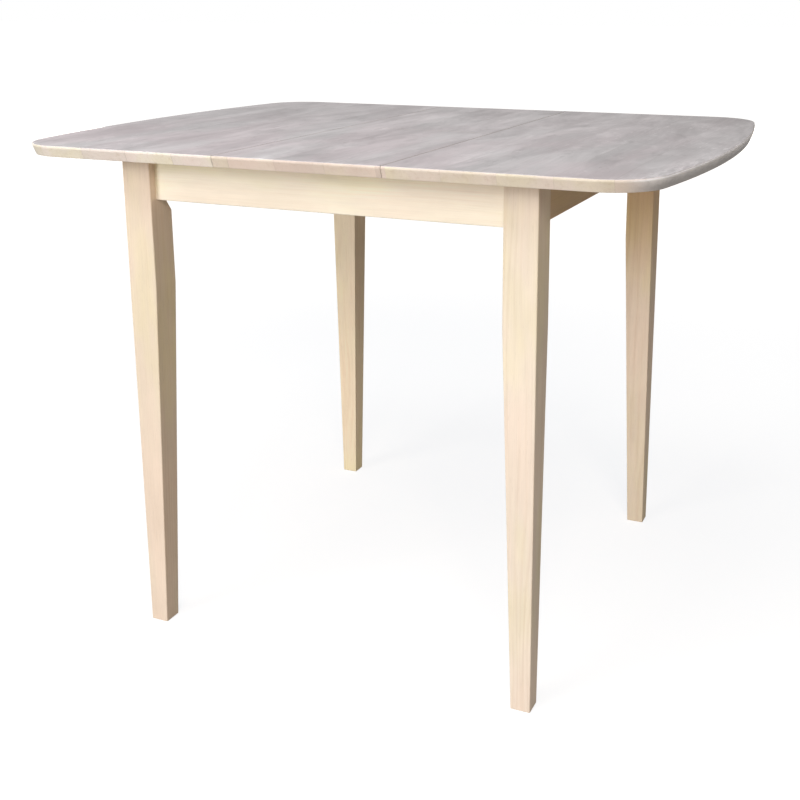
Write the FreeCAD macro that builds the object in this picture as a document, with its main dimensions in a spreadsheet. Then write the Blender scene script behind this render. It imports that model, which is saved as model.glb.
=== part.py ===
import FreeCAD, Part
import math
import os
import Sketcher

# Extending dining table with a leaf that folds and is kept in its own frame.
# Millimetres, +X along the extension, +Y to the back, +Z up, origin on the floor
# under the middle of the top. It stands as photographed, with the leaf in place.

SIZES = {
    # Driving dimensions of the table
    "table_height": 762.0,
    "top_length": 1016.0,
    "top_width": 787.4,
    "top_thick": 16.5,
    "leaf_width": 254.0,
    "end_overhang": 61.0,
    # Outline and edge of the top
    "end_bow": 41.0,
    "corner_radius": 80.0,
    "edge_slope": 5.0,
    "edge_land": 1.0,
    "arris_radius": 2.5,
    "seam_gap": 0.8,
    "fold_gap": 0.3,
    "leaf_seat_gap": 0.3,
    "top_clearance": 0.5,
    # Legs
    "leg_width": 47.5,
    "foot_width": 29.0,
    "straight_below_apron": 131.5,
    "leg_edge_radius": 1.5,
    "leg_chamfer": 14.0,
    "chamfer_runout": 20.0,
    # Aprons
    "apron_height": 63.5,
    "apron_thick": 19.0,
    "apron_setback": 12.7,
    "apron_edge_radius": 1.5,
    # Corner blocks and what bolts them
    "block_gap": 2.0,
    "block_thick": 17.0,
    "block_height": 50.0,
    "bolt_radius": 4.0,
    "bolt_in_leg": 30.0,
    "bolt_point": 5.0,
    "bolt_point_radius": 1.5,
    "bolt_tail": 3.0,
    "bolt_hole_play": 0.5,
    "washer_radius": 9.0,
    "washer_thick": 1.6,
    "nut_flats": 13.0,
    "nut_thick": 6.5,
    "pilot_play": 0.1,
    # Slides
    "store_play": 5.35,
    "block_clearance": 0.5,
    "slide_gap": 0.3,
    "rail_width": 22.0,
    "runner_width": 19.0,
    "runner_height": 30.0,
    "runner_setback": 23.0,
    "tongue_height": 8.0,
    "tongue_depth": 6.0,
    "slide_travel": 20.0,
    "stop_clearance": 0.5,
    # Bearers for the folded leaf
    "bearer_inset": 67.0,
    "bearer_width": 45.0,
    "bearer_thick": 18.0,
    "store_height": 40.0,
    # Stub tenons of the rails and bearers
    "tenon_depth": 9.0,
    "tenon_shoulder": 4.0,
    "tenon_play": 0.1,
    "mortise_end_play": 0.5,
    # Barrel hinges of the leaf
    "hinge_drop": 7.5,
    "barrel_radius": 5.0,
    "barrel_length": 12.0,
    "barrel_play": 0.1,
    "slot_depth": 10.5,
    "pin_radius": 0.8,
    "pin_depth": 2.0,
    "pin_inset": 0.8,
    "pin_play": 0.1,
    "link_reach": 12.0,
    "link_height": 3.6,
    "link_thick": 1.4,
    "link_round": 1.6,
    "link_gap": 0.2,
    # What a cut runs past the face it starts from
    "overrun": 2.0,
}

CORNERS = ["front_left", "front_right", "back_right", "back_left"]
DIAGONAL = (1, 1, 0)
UP = (0, 0, 1)
HINGES = 2
HEXAGON = 6
SAME_PLACE = 1e-4


class Size:
    """A length or a count, as its value and as the formula on the sheet's cells."""

    def __init__(self, value, formula):
        self.value = float(value)
        self.formula = formula

    def __add__(self, other):
        other = sized(other)
        return Size(self.value + other.value, f"({self.formula} + {other.formula})")

    def __radd__(self, other):
        return sized(other) + self

    def __sub__(self, other):
        other = sized(other)
        return Size(self.value - other.value, f"({self.formula} - {other.formula})")

    def __rsub__(self, other):
        return sized(other) - self

    def __mul__(self, other):
        other = sized(other)
        return Size(self.value * other.value, f"({self.formula} * {other.formula})")

    def __rmul__(self, other):
        return self * other

    def __truediv__(self, other):
        other = sized(other)
        return Size(self.value / other.value, f"({self.formula} / {other.formula})")

    def __neg__(self):
        return Size(-self.value, f"(0 - {self.formula})")


def sized(value):
    """A plain number as a Size, and a Size as it is."""
    if isinstance(value, Size):
        return value
    return Size(value, f"({float(value):.12f})")


def root(size):
    """The square root of a Size."""
    return Size(math.sqrt(size.value), f"sqrt({size.formula})")


doc = FreeCAD.newDocument("extending_dining_table")
sheet = doc.addObject("Spreadsheet::Sheet", "Sizes")
for row, (alias, length) in enumerate(SIZES.items(), start=1):
    sheet.set(f"A{row}", alias)
    sheet.set(f"B{row}", str(length))
    sheet.setAlias(f"B{row}", alias)
doc.recompute()


def cell(alias):
    """The Size that one cell of the sheet holds."""
    return Size(SIZES[alias], f"Sizes.{alias}")


# Levels, from the floor up
table_height = cell("table_height")
top_thick = cell("top_thick")
underside = table_height - top_thick
frame_top = underside - cell("top_clearance")
apron_height = cell("apron_height")
apron_bottom = frame_top - apron_height
apron_middle = apron_bottom + apron_height / 2
runner_height = cell("runner_height")
runner_bottom = underside - runner_height
tongue_middle = underside - runner_height / 2
bearer_thick = cell("bearer_thick")
bearer_bottom = frame_top - cell("store_height") - bearer_thick
leaf_underside = underside + cell("leaf_seat_gap")
leaf_thick = table_height - leaf_underside
hinge_middle = leaf_thick - cell("hinge_drop")
bevel_height = top_thick - cell("arris_radius") - cell("edge_land")

# Places across the frame
overrun = cell("overrun")
pilot_play = cell("pilot_play")
half_width = cell("top_width") / 2
half_spread_x = (cell("top_length") - cell("leaf_width")) / 2 - cell("end_overhang")
leg_width = cell("leg_width")
apron_thick = cell("apron_thick")
apron_setback = cell("apron_setback")
seat = apron_setback + apron_thick
clear_half_x = half_spread_x - seat
seam = cell("leaf_width") / 2
half_start = seam + cell("seam_gap") / 2
leaf_length = cell("leaf_width") - cell("seam_gap")
half_fold_gap = cell("fold_gap") / 2

# Corner joint, measured from the leg's outer corner
diagonal_step = root(sized(2))
chamfer_sum = 2 * leg_width - cell("leg_chamfer")
block_outer_sum = chamfer_sum + cell("block_gap") * diagonal_step
block_inner_sum = block_outer_sum + cell("block_thick") * diagonal_step
bolt_start = chamfer_sum / diagonal_step - cell("bolt_in_leg")
washer_start = block_inner_sum / diagonal_step
nut_start = washer_start + cell("washer_thick")
bolt_end = nut_start + cell("nut_thick") + cell("bolt_tail")
bolt_length = bolt_end - bolt_start
block_reach = block_inner_sum - seat

# Slides, set as far apart as the folded leaf needs
slide_gap = cell("slide_gap")
rail_width = cell("rail_width")
runner_width = cell("runner_width")
tongue_depth = cell("tongue_depth")
tongue_height = cell("tongue_height")
runner_step = rail_width / 2 + slide_gap + runner_width / 2
folded_half = half_width / 2
slide_place = folded_half + cell("store_play") + runner_width / 2 + runner_step
bearer_place = folded_half - cell("bearer_inset")
inner_runner_y = slide_place - runner_step
outer_runner_y = slide_place + runner_step
slides_end = outer_runner_y + runner_width / 2
half_spread_y = slides_end + cell("block_clearance") + block_reach
runner_start = cell("runner_setback") - seam
runner_end = clear_half_x - cell("slide_travel") - cell("stop_clearance")

# Barrel hinges of the leaf, one in the middle of each half of its length
hinge_xs = [leaf_length / HINGES * (step - (HINGES - 1) / 2) for step in range(HINGES)]
pin_place = half_fold_gap + cell("pin_depth")
half_link_step = (cell("link_thick") + cell("link_gap")) / 2
pin_start = cell("link_gap") / 2


def bind(thing, path, size):
    """Tie one property to the sheet."""
    thing.setExpression(path, sized(size).formula)


def place(thing, x=0, y=0, z=0, turn=0, lean=None):
    """Put a body or a link at its place, turned about Z or with its Z axis along lean."""
    turned = FreeCAD.Rotation(FreeCAD.Vector(*UP), turn)
    if lean is not None:
        turned = FreeCAD.Rotation(FreeCAD.Vector(*UP), FreeCAD.Vector(*lean))
    thing.Placement = FreeCAD.Placement(FreeCAD.Vector(), turned)
    for axis, size in (("x", x), ("y", y), ("z", z)):
        bind(thing, f"Placement.Base.{axis}", size)


def new_body(label):
    """An empty body with its own label."""
    body = doc.addObject("PartDesign::Body", label)
    body.Label = label
    return body


def new_sketch(body, role, lift=0, twist=0):
    """A sketch on one of the body's own origin planes, lifted and turned upright."""
    sketch = body.newObject("Sketcher::SketchObject", "Profile")
    plane = next(item for item in body.Origin.OriginFeatures if item.Role == role)
    sketch.AttachmentSupport = [(plane, "")]
    sketch.MapMode = "FlatFace"
    upright = FreeCAD.Rotation(FreeCAD.Vector(0, 1, 0), twist)
    sketch.AttachmentOffset = FreeCAD.Placement(FreeCAD.Vector(), upright)
    bind(sketch, "AttachmentOffset.Base.z", lift)
    return sketch


def fix_distance(sketch, kind, item, end, size):
    """Hold one coordinate of a point at a size from the sketch's origin."""
    size = sized(size)
    if size.value < 0:
        rule = Sketcher.Constraint(kind, item, end, -1, 1, -size.value)
        size = -size
    else:
        rule = Sketcher.Constraint(kind, -1, 1, item, end, size.value)
    bind(sketch, f"Constraints[{sketch.addConstraint(rule)}]", size)


def fix_point(sketch, item, end, x, y):
    """Hold a point of the sketch at a place."""
    fix_distance(sketch, "DistanceX", item, end, x)
    fix_distance(sketch, "DistanceY", item, end, y)


def vector(x, y):
    """A point of a sketch."""
    return FreeCAD.Vector(sized(x).value, sized(y).value, 0)


def add_polygon(sketch, points):
    """A closed outline of straight lines through points."""
    first = len(sketch.Geometry)
    following = points[1:] + points[:1]
    for start, end in zip(points, following):
        sketch.addGeometry(Part.LineSegment(vector(*start), vector(*end)))
    for number, point in enumerate(points):
        after = first + (number + 1) % len(points)
        sketch.addConstraint(Sketcher.Constraint("Coincident", first + number, 2, after, 1))
        fix_point(sketch, first + number, 1, *point)


def add_rectangle(sketch, low_x, low_y, high_x, high_y):
    """A rectangle from its low corner to its high corner."""
    corners = [(low_x, low_y), (high_x, low_y), (high_x, high_y), (low_x, high_y)]
    add_polygon(sketch, corners)


def add_circle(sketch, x, y, radius):
    """A circle at a place."""
    shape = Part.Circle(vector(x, y), FreeCAD.Vector(*UP), radius.value)
    item = sketch.addGeometry(shape)
    rule = Sketcher.Constraint("Radius", item, radius.value)
    bind(sketch, f"Constraints[{sketch.addConstraint(rule)}]", radius)
    fix_point(sketch, item, 3, x, y)


def add_feature(body, kind, sketch, length, both_ways=False, backwards=False):
    """A pad or a pocket of a sketch."""
    thing = body.newObject(f"PartDesign::{kind}", kind)
    thing.Profile = sketch
    thing.SideType = "Symmetric" if both_ways else "One side"
    thing.Reversed = backwards
    bind(thing, "Length", length)
    return thing


def add_turning(body, points):
    """A solid turned about Z from points of radius and height."""
    sketch = new_sketch(body, "XZ_Plane")
    add_polygon(sketch, points)
    thing = body.newObject("PartDesign::Revolution", "Turning")
    thing.Profile = sketch
    thing.ReferenceAxis = (sketch, ["V_Axis"])
    return thing


def drill(body, radius, depth, x, y, z, lean):
    """A straight hole from a place, along lean."""
    thing = body.newObject("PartDesign::SubtractiveCylinder", "Drill")
    place(thing, x, y, z, lean=lean)
    bind(thing, "Radius", radius)
    bind(thing, "Height", depth)
    return thing


def dress_edges(body, kind, chosen):
    """A fillet or a chamfer on the edges of the body that chosen picks."""
    doc.recompute()
    base = body.Tip
    names = [
        f"Edge{number}"
        for number, edge in enumerate(base.Shape.Edges, start=1)
        if chosen(edge)
    ]
    thing = body.newObject(f"PartDesign::{kind}", kind)
    thing.Base = (base, names)
    return thing


def round_edges(body, radius, chosen):
    """Round the edges of the body that chosen picks."""
    bind(dress_edges(body, "Fillet", chosen), "Radius", radius)


def bevel_edges(body, height, inset, chosen):
    """Bevel the lower edges that chosen picks, to a height and an inset."""
    thing = dress_edges(body, "Chamfer", chosen)
    thing.ChamferType = "Two distances"
    bind(thing, "Size", height)
    bind(thing, "Size2", inset)


def ends_of(edge):
    """The first and the last point of an edge."""
    return edge.Vertexes[0].Point, edge.Vertexes[-1].Point


def at_height(edge, level):
    """Whether both ends of an edge lie at a level."""
    return all(abs(point.z - level.value) < SAME_PLACE for point in ends_of(edge))


def lies_along(edge, axis):
    """Whether an edge runs along X, Y or Z only."""
    start, end = ends_of(edge)
    change = end - start
    across = [abs(getattr(change, name)) for name in "xyz" if name != axis]
    return max(across) < SAME_PLACE


def group(label, form, seats):
    """Copies of one form in one node, each at its place and along its axis."""
    links = []
    for x, y, z, lean in seats:
        link = doc.addObject("App::Link", f"{label}_copy")
        link.LinkedObject = form
        place(link, x, y, z, lean=lean)
        links.append(link)
    compound = doc.addObject("Part::Compound", label)
    compound.Label = label
    compound.Links = links
    return compound


def corner_turn(name):
    """The angle by which a corner is turned from the front left one."""
    return math.degrees(2 * math.pi) * CORNERS.index(name) / len(CORNERS)


def from_corner(name, along_x, along_y):
    """A place at a corner of the frame, measured from the leg's outer corner."""
    side_x, side_y = -1, -1
    for _ in range(CORNERS.index(name)):
        side_x, side_y = -side_y, side_x
        along_x, along_y = -along_y, along_x
    return side_x * half_spread_x + along_x, side_y * half_spread_y + along_y


def turn_direction(name, direction):
    """A direction at a corner, given as for the front left one."""
    turn = FreeCAD.Rotation(FreeCAD.Vector(*UP), corner_turn(name))
    return tuple(turn.multVec(FreeCAD.Vector(*direction)))


# Legs: square above, tapered on the two inner faces, with a sawn corner at the top


def make_leg(name):
    """A leg, drawn from its outer corner as for the front left one."""
    body = new_body(f"leg_{name}")
    stock = new_sketch(body, "XY_Plane")
    add_rectangle(stock, 0, 0, leg_width, leg_width)
    add_feature(body, "Pad", stock, frame_top)
    taper_top = apron_bottom - cell("straight_below_apron")
    foot_width = cell("foot_width")
    taper_rate = (leg_width - foot_width) / taper_top
    for role in ("XZ_Plane", "YZ_Plane"):
        taper = new_sketch(body, role)
        add_polygon(taper, [
            (foot_width - taper_rate * overrun, -overrun),
            (leg_width + overrun, -overrun),
            (leg_width + overrun, taper_top + overrun / taper_rate),
        ])
        cuts.append(add_feature(body, "Pocket", taper, 2 * (leg_width + overrun), both_ways=True))

    def is_outside_edge(edge):
        start, end = ends_of(edge)
        upright = abs(end.z - start.z) > leg_width.value
        return upright and min(start.x, start.y) < overrun.value

    round_edges(body, cell("leg_edge_radius"), is_outside_edge)
    sawn_depth = chamfer_sum / diagonal_step
    corner_depth = leg_width * diagonal_step
    runout_rate = cell("chamfer_runout") / (corner_depth - sawn_depth)
    runout_end = apron_bottom - runout_rate * (corner_depth + overrun - sawn_depth)
    saw = new_sketch(body, "XZ_Plane", twist=45)
    add_polygon(saw, [
        (sawn_depth, frame_top + overrun),
        (sawn_depth, apron_bottom),
        (corner_depth + overrun, runout_end),
        (corner_depth + overrun, frame_top + overrun),
    ])
    cuts.append(add_feature(body, "Pocket", saw, 2 * leg_width, both_ways=True))
    start = bolt_start / diagonal_step
    depth = cell("bolt_in_leg") + overrun
    hole = drill(body, cell("bolt_radius") + pilot_play, depth, start, start, apron_middle, DIAGONAL)
    cuts.append(hole)
    place(body, *from_corner(name, sized(0), sized(0)), turn=corner_turn(name))
    return body


# Aprons: set back from the legs, the end ones with mortises for the bars between them


def make_apron(label, length, x, y, turn, bars):
    """An apron, drawn inwards from its outer face, with mortises for the bars it carries."""
    body = new_body(label)
    section = new_sketch(body, "YZ_Plane")
    add_rectangle(section, 0, 0, apron_thick, apron_height)
    add_feature(body, "Pad", section, length, both_ways=True)

    def is_lower_edge(edge):
        return at_height(edge, sized(0)) and lies_along(edge, "x")

    round_edges(body, cell("apron_edge_radius"), is_lower_edge)
    if bars:
        mortises = new_sketch(body, "XZ_Plane", -apron_thick)
        play = cell("tenon_play")
        for bar in bars:
            for side in (-1, 1):
                add_rectangle(
                    mortises,
                    side * bar["y"] - bar["tenon_width"] / 2 - play,
                    bar["tenon_bottom"] - apron_bottom - play,
                    side * bar["y"] + bar["tenon_width"] / 2 + play,
                    bar["tenon_top"] - apron_bottom + play,
                )
        depth = cell("tenon_depth") + cell("mortise_end_play")
        cuts.append(add_feature(body, "Pocket", mortises, depth, backwards=True))
    place(body, x, y, apron_bottom, turn=turn)
    return body


# Bars between the end aprons: slide rails and leaf bearers, each with a stub tenon at its ends


def bar_sizes(y, width, bottom, top, tenon_width):
    """The place and the section of a bar, and of the stub tenons at its ends."""
    shoulder = cell("tenon_shoulder")
    return {
        "y": y,
        "width": width,
        "bottom": bottom,
        "top": top,
        "tenon_width": tenon_width,
        "tenon_bottom": bottom + shoulder,
        "tenon_top": top - shoulder,
    }


def make_bar(label, bar, side, section_points):
    """A bar from one end apron to the other."""
    body = new_body(label)
    section = new_sketch(body, "YZ_Plane")
    add_polygon(section, section_points)
    add_feature(body, "Pad", section, 2 * clear_half_x, both_ways=True)
    tenon = new_sketch(body, "YZ_Plane")
    half_tenon = bar["tenon_width"] / 2
    add_rectangle(tenon, -half_tenon, bar["tenon_bottom"], half_tenon, bar["tenon_top"])
    add_feature(body, "Pad", tenon, 2 * (clear_half_x + cell("tenon_depth")), both_ways=True)
    place(body, 0, side * bar["y"], 0)
    return body


def rail_section(bar):
    """The rail's section, with a groove for a runner's tongue in each side."""
    half = rail_width / 2
    floor = half - tongue_depth - slide_gap
    low = tongue_middle - tongue_height / 2 - slide_gap
    high = tongue_middle + tongue_height / 2 + slide_gap
    right = [
        (half, bar["bottom"]), (half, low), (floor, low),
        (floor, high), (half, high), (half, bar["top"]),
    ]
    left = [(-y, z) for y, z in reversed(right)]
    return right + left


def bearer_section(bar):
    """The bearer's plain section."""
    half = bar["width"] / 2
    return [(-half, bar["bottom"]), (half, bar["bottom"]), (half, bar["top"]), (-half, bar["top"])]


# Runners: fixed under a half of the top, with a tongue in the rail's groove


def make_runner(label, y, tongue_side, turn):
    """A runner with a tongue on one side."""
    body = new_body(label)
    section = new_sketch(body, "YZ_Plane", runner_start)
    half = runner_width / 2
    low = tongue_middle - tongue_height / 2
    high = tongue_middle + tongue_height / 2
    tip = half + tongue_depth
    points = [
        (-half, runner_bottom), (half, runner_bottom), (half, low), (tip, low),
        (tip, high), (half, high), (half, underside), (-half, underside),
    ]
    if tongue_side < 0:
        points = [(-across, level) for across, level in reversed(points)]
    add_polygon(section, points)
    add_feature(body, "Pad", section, runner_end - runner_start)
    place(body, 0, y, 0, turn=turn)
    return body


# Halves of the top: a bowed end, rounded corners, straight sides and a sloped edge


def add_half_outline(sketch):
    """The outline of a half at its widest line."""
    bow = cell("end_bow")
    end_radius = (half_width * half_width + bow * bow) / (2 * bow)
    end_x = cell("top_length") / 2 - end_radius
    corner_radius = cell("corner_radius")
    corner_y = half_width - corner_radius
    between = end_radius - corner_radius
    corner_x = end_x + root(between * between - corner_y * corner_y)
    touch_x = end_x + (corner_x - end_x) * end_radius / between
    touch_y = corner_y * end_radius / between

    def arc(center, start, end, radius):
        swing = [
            math.atan2((point[1] - center[1]).value, (point[0] - center[0]).value)
            for point in (start, end)
        ]
        circle = Part.Circle(vector(*center), FreeCAD.Vector(*UP), radius.value)
        return Part.ArcOfCircle(circle, *swing)

    near_start, near_end = (half_start, -half_width), (corner_x, -half_width)
    near_touch, far_touch = (touch_x, -touch_y), (touch_x, touch_y)
    far_start, far_end = (corner_x, half_width), (half_start, half_width)
    near_center, far_center = (corner_x, -corner_y), (corner_x, corner_y)
    sketch.addGeometry(Part.LineSegment(vector(*near_start), vector(*near_end)))
    sketch.addGeometry(arc(near_center, near_end, near_touch, corner_radius))
    sketch.addGeometry(arc((end_x, sized(0)), near_touch, far_touch, end_radius))
    sketch.addGeometry(arc(far_center, far_touch, far_start, corner_radius))
    sketch.addGeometry(Part.LineSegment(vector(*far_start), vector(*far_end)))
    sketch.addGeometry(Part.LineSegment(vector(*far_end), vector(*near_start)))
    count = len(sketch.Geometry)
    for number in range(count):
        after = (number + 1) % count
        sketch.addConstraint(Sketcher.Constraint("Coincident", number, 2, after, 1))
    fix_point(sketch, 0, 1, *near_start)
    fix_point(sketch, 0, 2, *near_end)
    fix_point(sketch, 4, 1, *far_start)
    fix_point(sketch, 4, 2, *far_end)
    fix_point(sketch, 1, 3, *near_center)
    fix_point(sketch, 3, 3, *far_center)
    fix_distance(sketch, "DistanceY", 1, 2, -touch_y)
    fix_distance(sketch, "DistanceY", 3, 1, touch_y)
    rule = Sketcher.Constraint("Radius", 2, end_radius.value)
    bind(sketch, f"Constraints[{sketch.addConstraint(rule)}]", end_radius)


def make_half(label, turn):
    """A half of the top."""
    body = new_body(label)
    board = new_sketch(body, "XY_Plane")
    add_half_outline(board)
    add_feature(body, "Pad", board, top_thick)

    def is_at_seam(edge):
        return all(abs(point.x - half_start.value) < SAME_PLACE for point in ends_of(edge))

    def is_outer(level):
        return lambda edge: at_height(edge, level) and not is_at_seam(edge)

    round_edges(body, cell("arris_radius"), is_outer(top_thick))
    bevel_edges(body, bevel_height, cell("edge_slope"), is_outer(sized(0)))
    place(body, 0, 0, underside, turn=turn)
    return body


# Leaf: two wings that meet at the fold, with the same sloped edge at their outer ends


def make_wing(label, turn):
    """A wing of the leaf, bored at the fold for the hinge barrels."""
    body = new_body(label)
    bevel_left = bevel_height - cell("leaf_seat_gap")
    inset = cell("edge_slope") * bevel_left / bevel_height
    section = new_sketch(body, "YZ_Plane")
    add_polygon(section, [
        (half_fold_gap, 0),
        (half_width - inset, 0),
        (half_width, bevel_left),
        (half_width, leaf_thick),
        (half_fold_gap, leaf_thick),
    ])
    add_feature(body, "Pad", section, leaf_length, both_ways=True)

    def is_outer_arris(edge):
        outer = all(abs(point.y - half_width.value) < SAME_PLACE for point in ends_of(edge))
        return at_height(edge, leaf_thick) and outer

    round_edges(body, cell("arris_radius"), is_outer_arris)
    barrels = new_sketch(body, "XZ_Plane", overrun - half_fold_gap)
    for x in hinge_xs:
        add_circle(barrels, x, hinge_middle, cell("barrel_radius") + cell("barrel_play"))
    depth = cell("barrel_length") + cell("barrel_play") + overrun
    cuts.append(add_feature(body, "Pocket", barrels, depth))
    place(body, 0, 0, leaf_underside, turn=turn)
    return body


# Barrel hinges: two slotted barrels, each with a pin and a link that reaches into the other


def make_barrel_form():
    """A slotted barrel, drawn from its mouth along Z."""
    body = new_body("hinge_barrel_form")
    barrel_radius = cell("barrel_radius")
    face = new_sketch(body, "XY_Plane")
    add_circle(face, 0, 0, barrel_radius)
    add_feature(body, "Pad", face, cell("barrel_length"))
    slot = new_sketch(body, "XY_Plane")
    half_slot = half_link_step + cell("link_thick") / 2 + cell("link_gap")
    tall = barrel_radius + overrun
    add_rectangle(slot, -half_slot, -tall, half_slot, tall)
    cuts.append(add_feature(body, "Pocket", slot, cell("slot_depth"), backwards=True))
    start = -(barrel_radius + overrun)
    hole = drill(body, cell("pin_radius"), -2 * start, start, 0, cell("pin_depth"), (1, 0, 0))
    cuts.append(hole)
    return body


def make_pin_form():
    """A hinge pin along Z, through one link and one wall of its barrel."""
    body = new_body("hinge_pin_form")
    face = new_sketch(body, "XY_Plane")
    add_circle(face, 0, 0, cell("pin_radius"))
    add_feature(body, "Pad", face, cell("barrel_radius") - cell("pin_inset") - pin_start)
    return body


def make_link_form():
    """A link plate, drawn from its pin along Z."""
    body = new_body("hinge_link_form")
    plate = new_sketch(body, "YZ_Plane")
    half_height = cell("link_height") / 2
    add_rectangle(plate, -half_height, -half_height, half_height, cell("link_reach"))
    add_feature(body, "Pad", plate, cell("link_thick"), both_ways=True)
    round_edges(body, cell("link_round"), lambda edge: lies_along(edge, "x"))
    thick = cell("link_thick")
    hole = drill(body, cell("pin_radius") + cell("pin_play"), 2 * thick, -thick, 0, 0, (1, 0, 0))
    cuts.append(hole)
    return body


# Corner blocks and the bolts that hold the legs to them


def make_corner_block(name):
    """A corner block across the corner, drilled for its bolt."""
    body = new_body(f"corner_block_{name}")
    section = new_sketch(body, "XY_Plane")
    add_polygon(section, [
        (block_outer_sum - seat, seat),
        (block_inner_sum - seat, seat),
        (seat, block_inner_sum - seat),
        (seat, block_outer_sum - seat),
    ])
    block_height = cell("block_height")
    add_feature(body, "Pad", section, block_height)
    middle = block_height / 2
    start = block_outer_sum / diagonal_step / diagonal_step - overrun
    depth = cell("block_thick") + 2 * overrun * diagonal_step
    bolt_hole = cell("bolt_radius") + cell("bolt_hole_play")
    cuts.append(drill(body, bolt_hole, depth, start, start, middle, DIAGONAL))
    corner = from_corner(name, sized(0), sized(0))
    place(body, *corner, apron_middle - middle, turn=corner_turn(name))
    return body


def make_bolt_form():
    """A hanger bolt along Z, from its point."""
    body = new_body("hanger_bolt_form")
    radius = cell("bolt_radius")
    add_turning(body, [
        (0, 0),
        (cell("bolt_point_radius"), 0),
        (radius, cell("bolt_point")),
        (radius, bolt_length),
        (0, bolt_length),
    ])
    return body


def make_washer_form():
    """A plain washer."""
    body = new_body("washer_form")
    ring = new_sketch(body, "XY_Plane")
    add_circle(ring, 0, 0, cell("washer_radius"))
    add_circle(ring, 0, 0, cell("bolt_radius") + pilot_play)
    add_feature(body, "Pad", ring, cell("washer_thick"))
    return body


def make_nut_form():
    """A hexagon nut."""
    body = new_body("nut_form")
    hexagon = new_sketch(body, "XY_Plane")
    corner = cell("nut_flats") / root(sized(3))
    angles = [2 * math.pi * step / HEXAGON for step in range(HEXAGON)]
    add_polygon(hexagon, [(corner * math.cos(angle), corner * math.sin(angle)) for angle in angles])
    add_circle(hexagon, 0, 0, cell("bolt_radius") + pilot_play)
    add_feature(body, "Pad", hexagon, cell("nut_thick"))
    return body


def on_diagonals(distance):
    """A seat at each corner, at a distance along the diagonal from the leg's outer corner."""
    step = distance / diagonal_step
    return [
        (*from_corner(name, step, step), apron_middle, turn_direction(name, DIAGONAL))
        for name in CORNERS
    ]


# The whole table
cuts = []
nodes = []
rail_tenon = rail_width - 2 * (tongue_depth + slide_gap)
rail = bar_sizes(slide_place, rail_width, runner_bottom, frame_top, rail_tenon)
bearer_width = cell("bearer_width")
bearer_top = bearer_bottom + bearer_thick
bearer_tenon = bearer_width - 2 * cell("tenon_shoulder")
bearer = bar_sizes(bearer_place, bearer_width, bearer_bottom, bearer_top, bearer_tenon)

for corner_name in CORNERS:
    nodes.append(make_leg(corner_name))
    nodes.append(make_corner_block(corner_name))

long_apron = 2 * (half_spread_x - leg_width)
end_apron = 2 * (half_spread_y - leg_width)
face_x = half_spread_x - apron_setback
face_y = half_spread_y - apron_setback
nodes.append(make_apron("apron_front", long_apron, 0, -face_y, 0, []))
nodes.append(make_apron("apron_back", long_apron, 0, face_y, 180, []))
nodes.append(make_apron("apron_left", end_apron, -face_x, 0, -90, [rail, bearer]))
nodes.append(make_apron("apron_right", end_apron, face_x, 0, 90, [rail, bearer]))

for side_name, side_sign in (("front", -1), ("back", 1)):
    nodes.append(make_bar(f"slide_rail_{side_name}", rail, side_sign, rail_section(rail)))
    nodes.append(make_bar(f"leaf_bearer_{side_name}", bearer, side_sign, bearer_section(bearer)))

nodes.append(make_runner("runner_front_right", -inner_runner_y, -1, 0))
nodes.append(make_runner("runner_back_right", inner_runner_y, 1, 0))
nodes.append(make_runner("runner_front_left", -outer_runner_y, -1, 180))
nodes.append(make_runner("runner_back_left", outer_runner_y, 1, 180))
nodes.append(make_half("top_right", 0))
nodes.append(make_half("top_left", 180))
nodes.append(make_wing("leaf_front", 180))
nodes.append(make_wing("leaf_back", 0))

hinge_level = leaf_underside + hinge_middle
barrel_form = make_barrel_form()
pin_form = make_pin_form()
link_form = make_link_form()
for side_name, side_sign in (("front", -1), ("back", 1)):
    mouth_y, pin_y, link_step = (
        side_sign * size for size in (half_fold_gap, pin_place, half_link_step)
    )
    barrel_seats = [(x, mouth_y, hinge_level, (0, side_sign, 0)) for x in hinge_xs]
    pin_seats = [
        (x + side_sign * pin_start, pin_y, hinge_level, (side_sign, 0, 0)) for x in hinge_xs
    ]
    link_seats = [(x + link_step, pin_y, hinge_level, (0, -side_sign, 0)) for x in hinge_xs]
    nodes.append(group(f"hinge_barrels_{side_name}", barrel_form, barrel_seats))
    nodes.append(group(f"hinge_pins_{side_name}", pin_form, pin_seats))
    nodes.append(group(f"hinge_links_{side_name}", link_form, link_seats))

nodes.append(group("hanger_bolts", make_bolt_form(), on_diagonals(bolt_start)))
nodes.append(group("washers", make_washer_form(), on_diagonals(washer_start)))
nodes.append(group("nuts", make_nut_form(), on_diagonals(nut_start)))

doc.recompute()
for item in doc.Objects:
    if {"Invalid", "Error"} & set(item.State):
        raise RuntimeError(f"{item.Label} failed: {item.State}")
for cut in cuts:
    if not cut.Shape.Volume < cut.BaseFeature.Shape.Volume:
        raise RuntimeError(f"{cut.Label} removes nothing")
for node in nodes:
    if node.Shape.isNull() or not node.Shape.isValid() or not node.Shape.Solids:
        raise RuntimeError(f"{node.Label} is not a valid solid")
os.makedirs("parts", exist_ok=True)
for node in nodes:
    node.Shape.exportStep(f"parts/{node.Label}.step")
print(f"{len(nodes)} nodes, {sum(len(node.Shape.Solids) for node in nodes)} solids")
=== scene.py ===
import math
from typing import NamedTuple

import bmesh
import bpy
from mathutils import Color, Matrix, Vector


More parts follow.
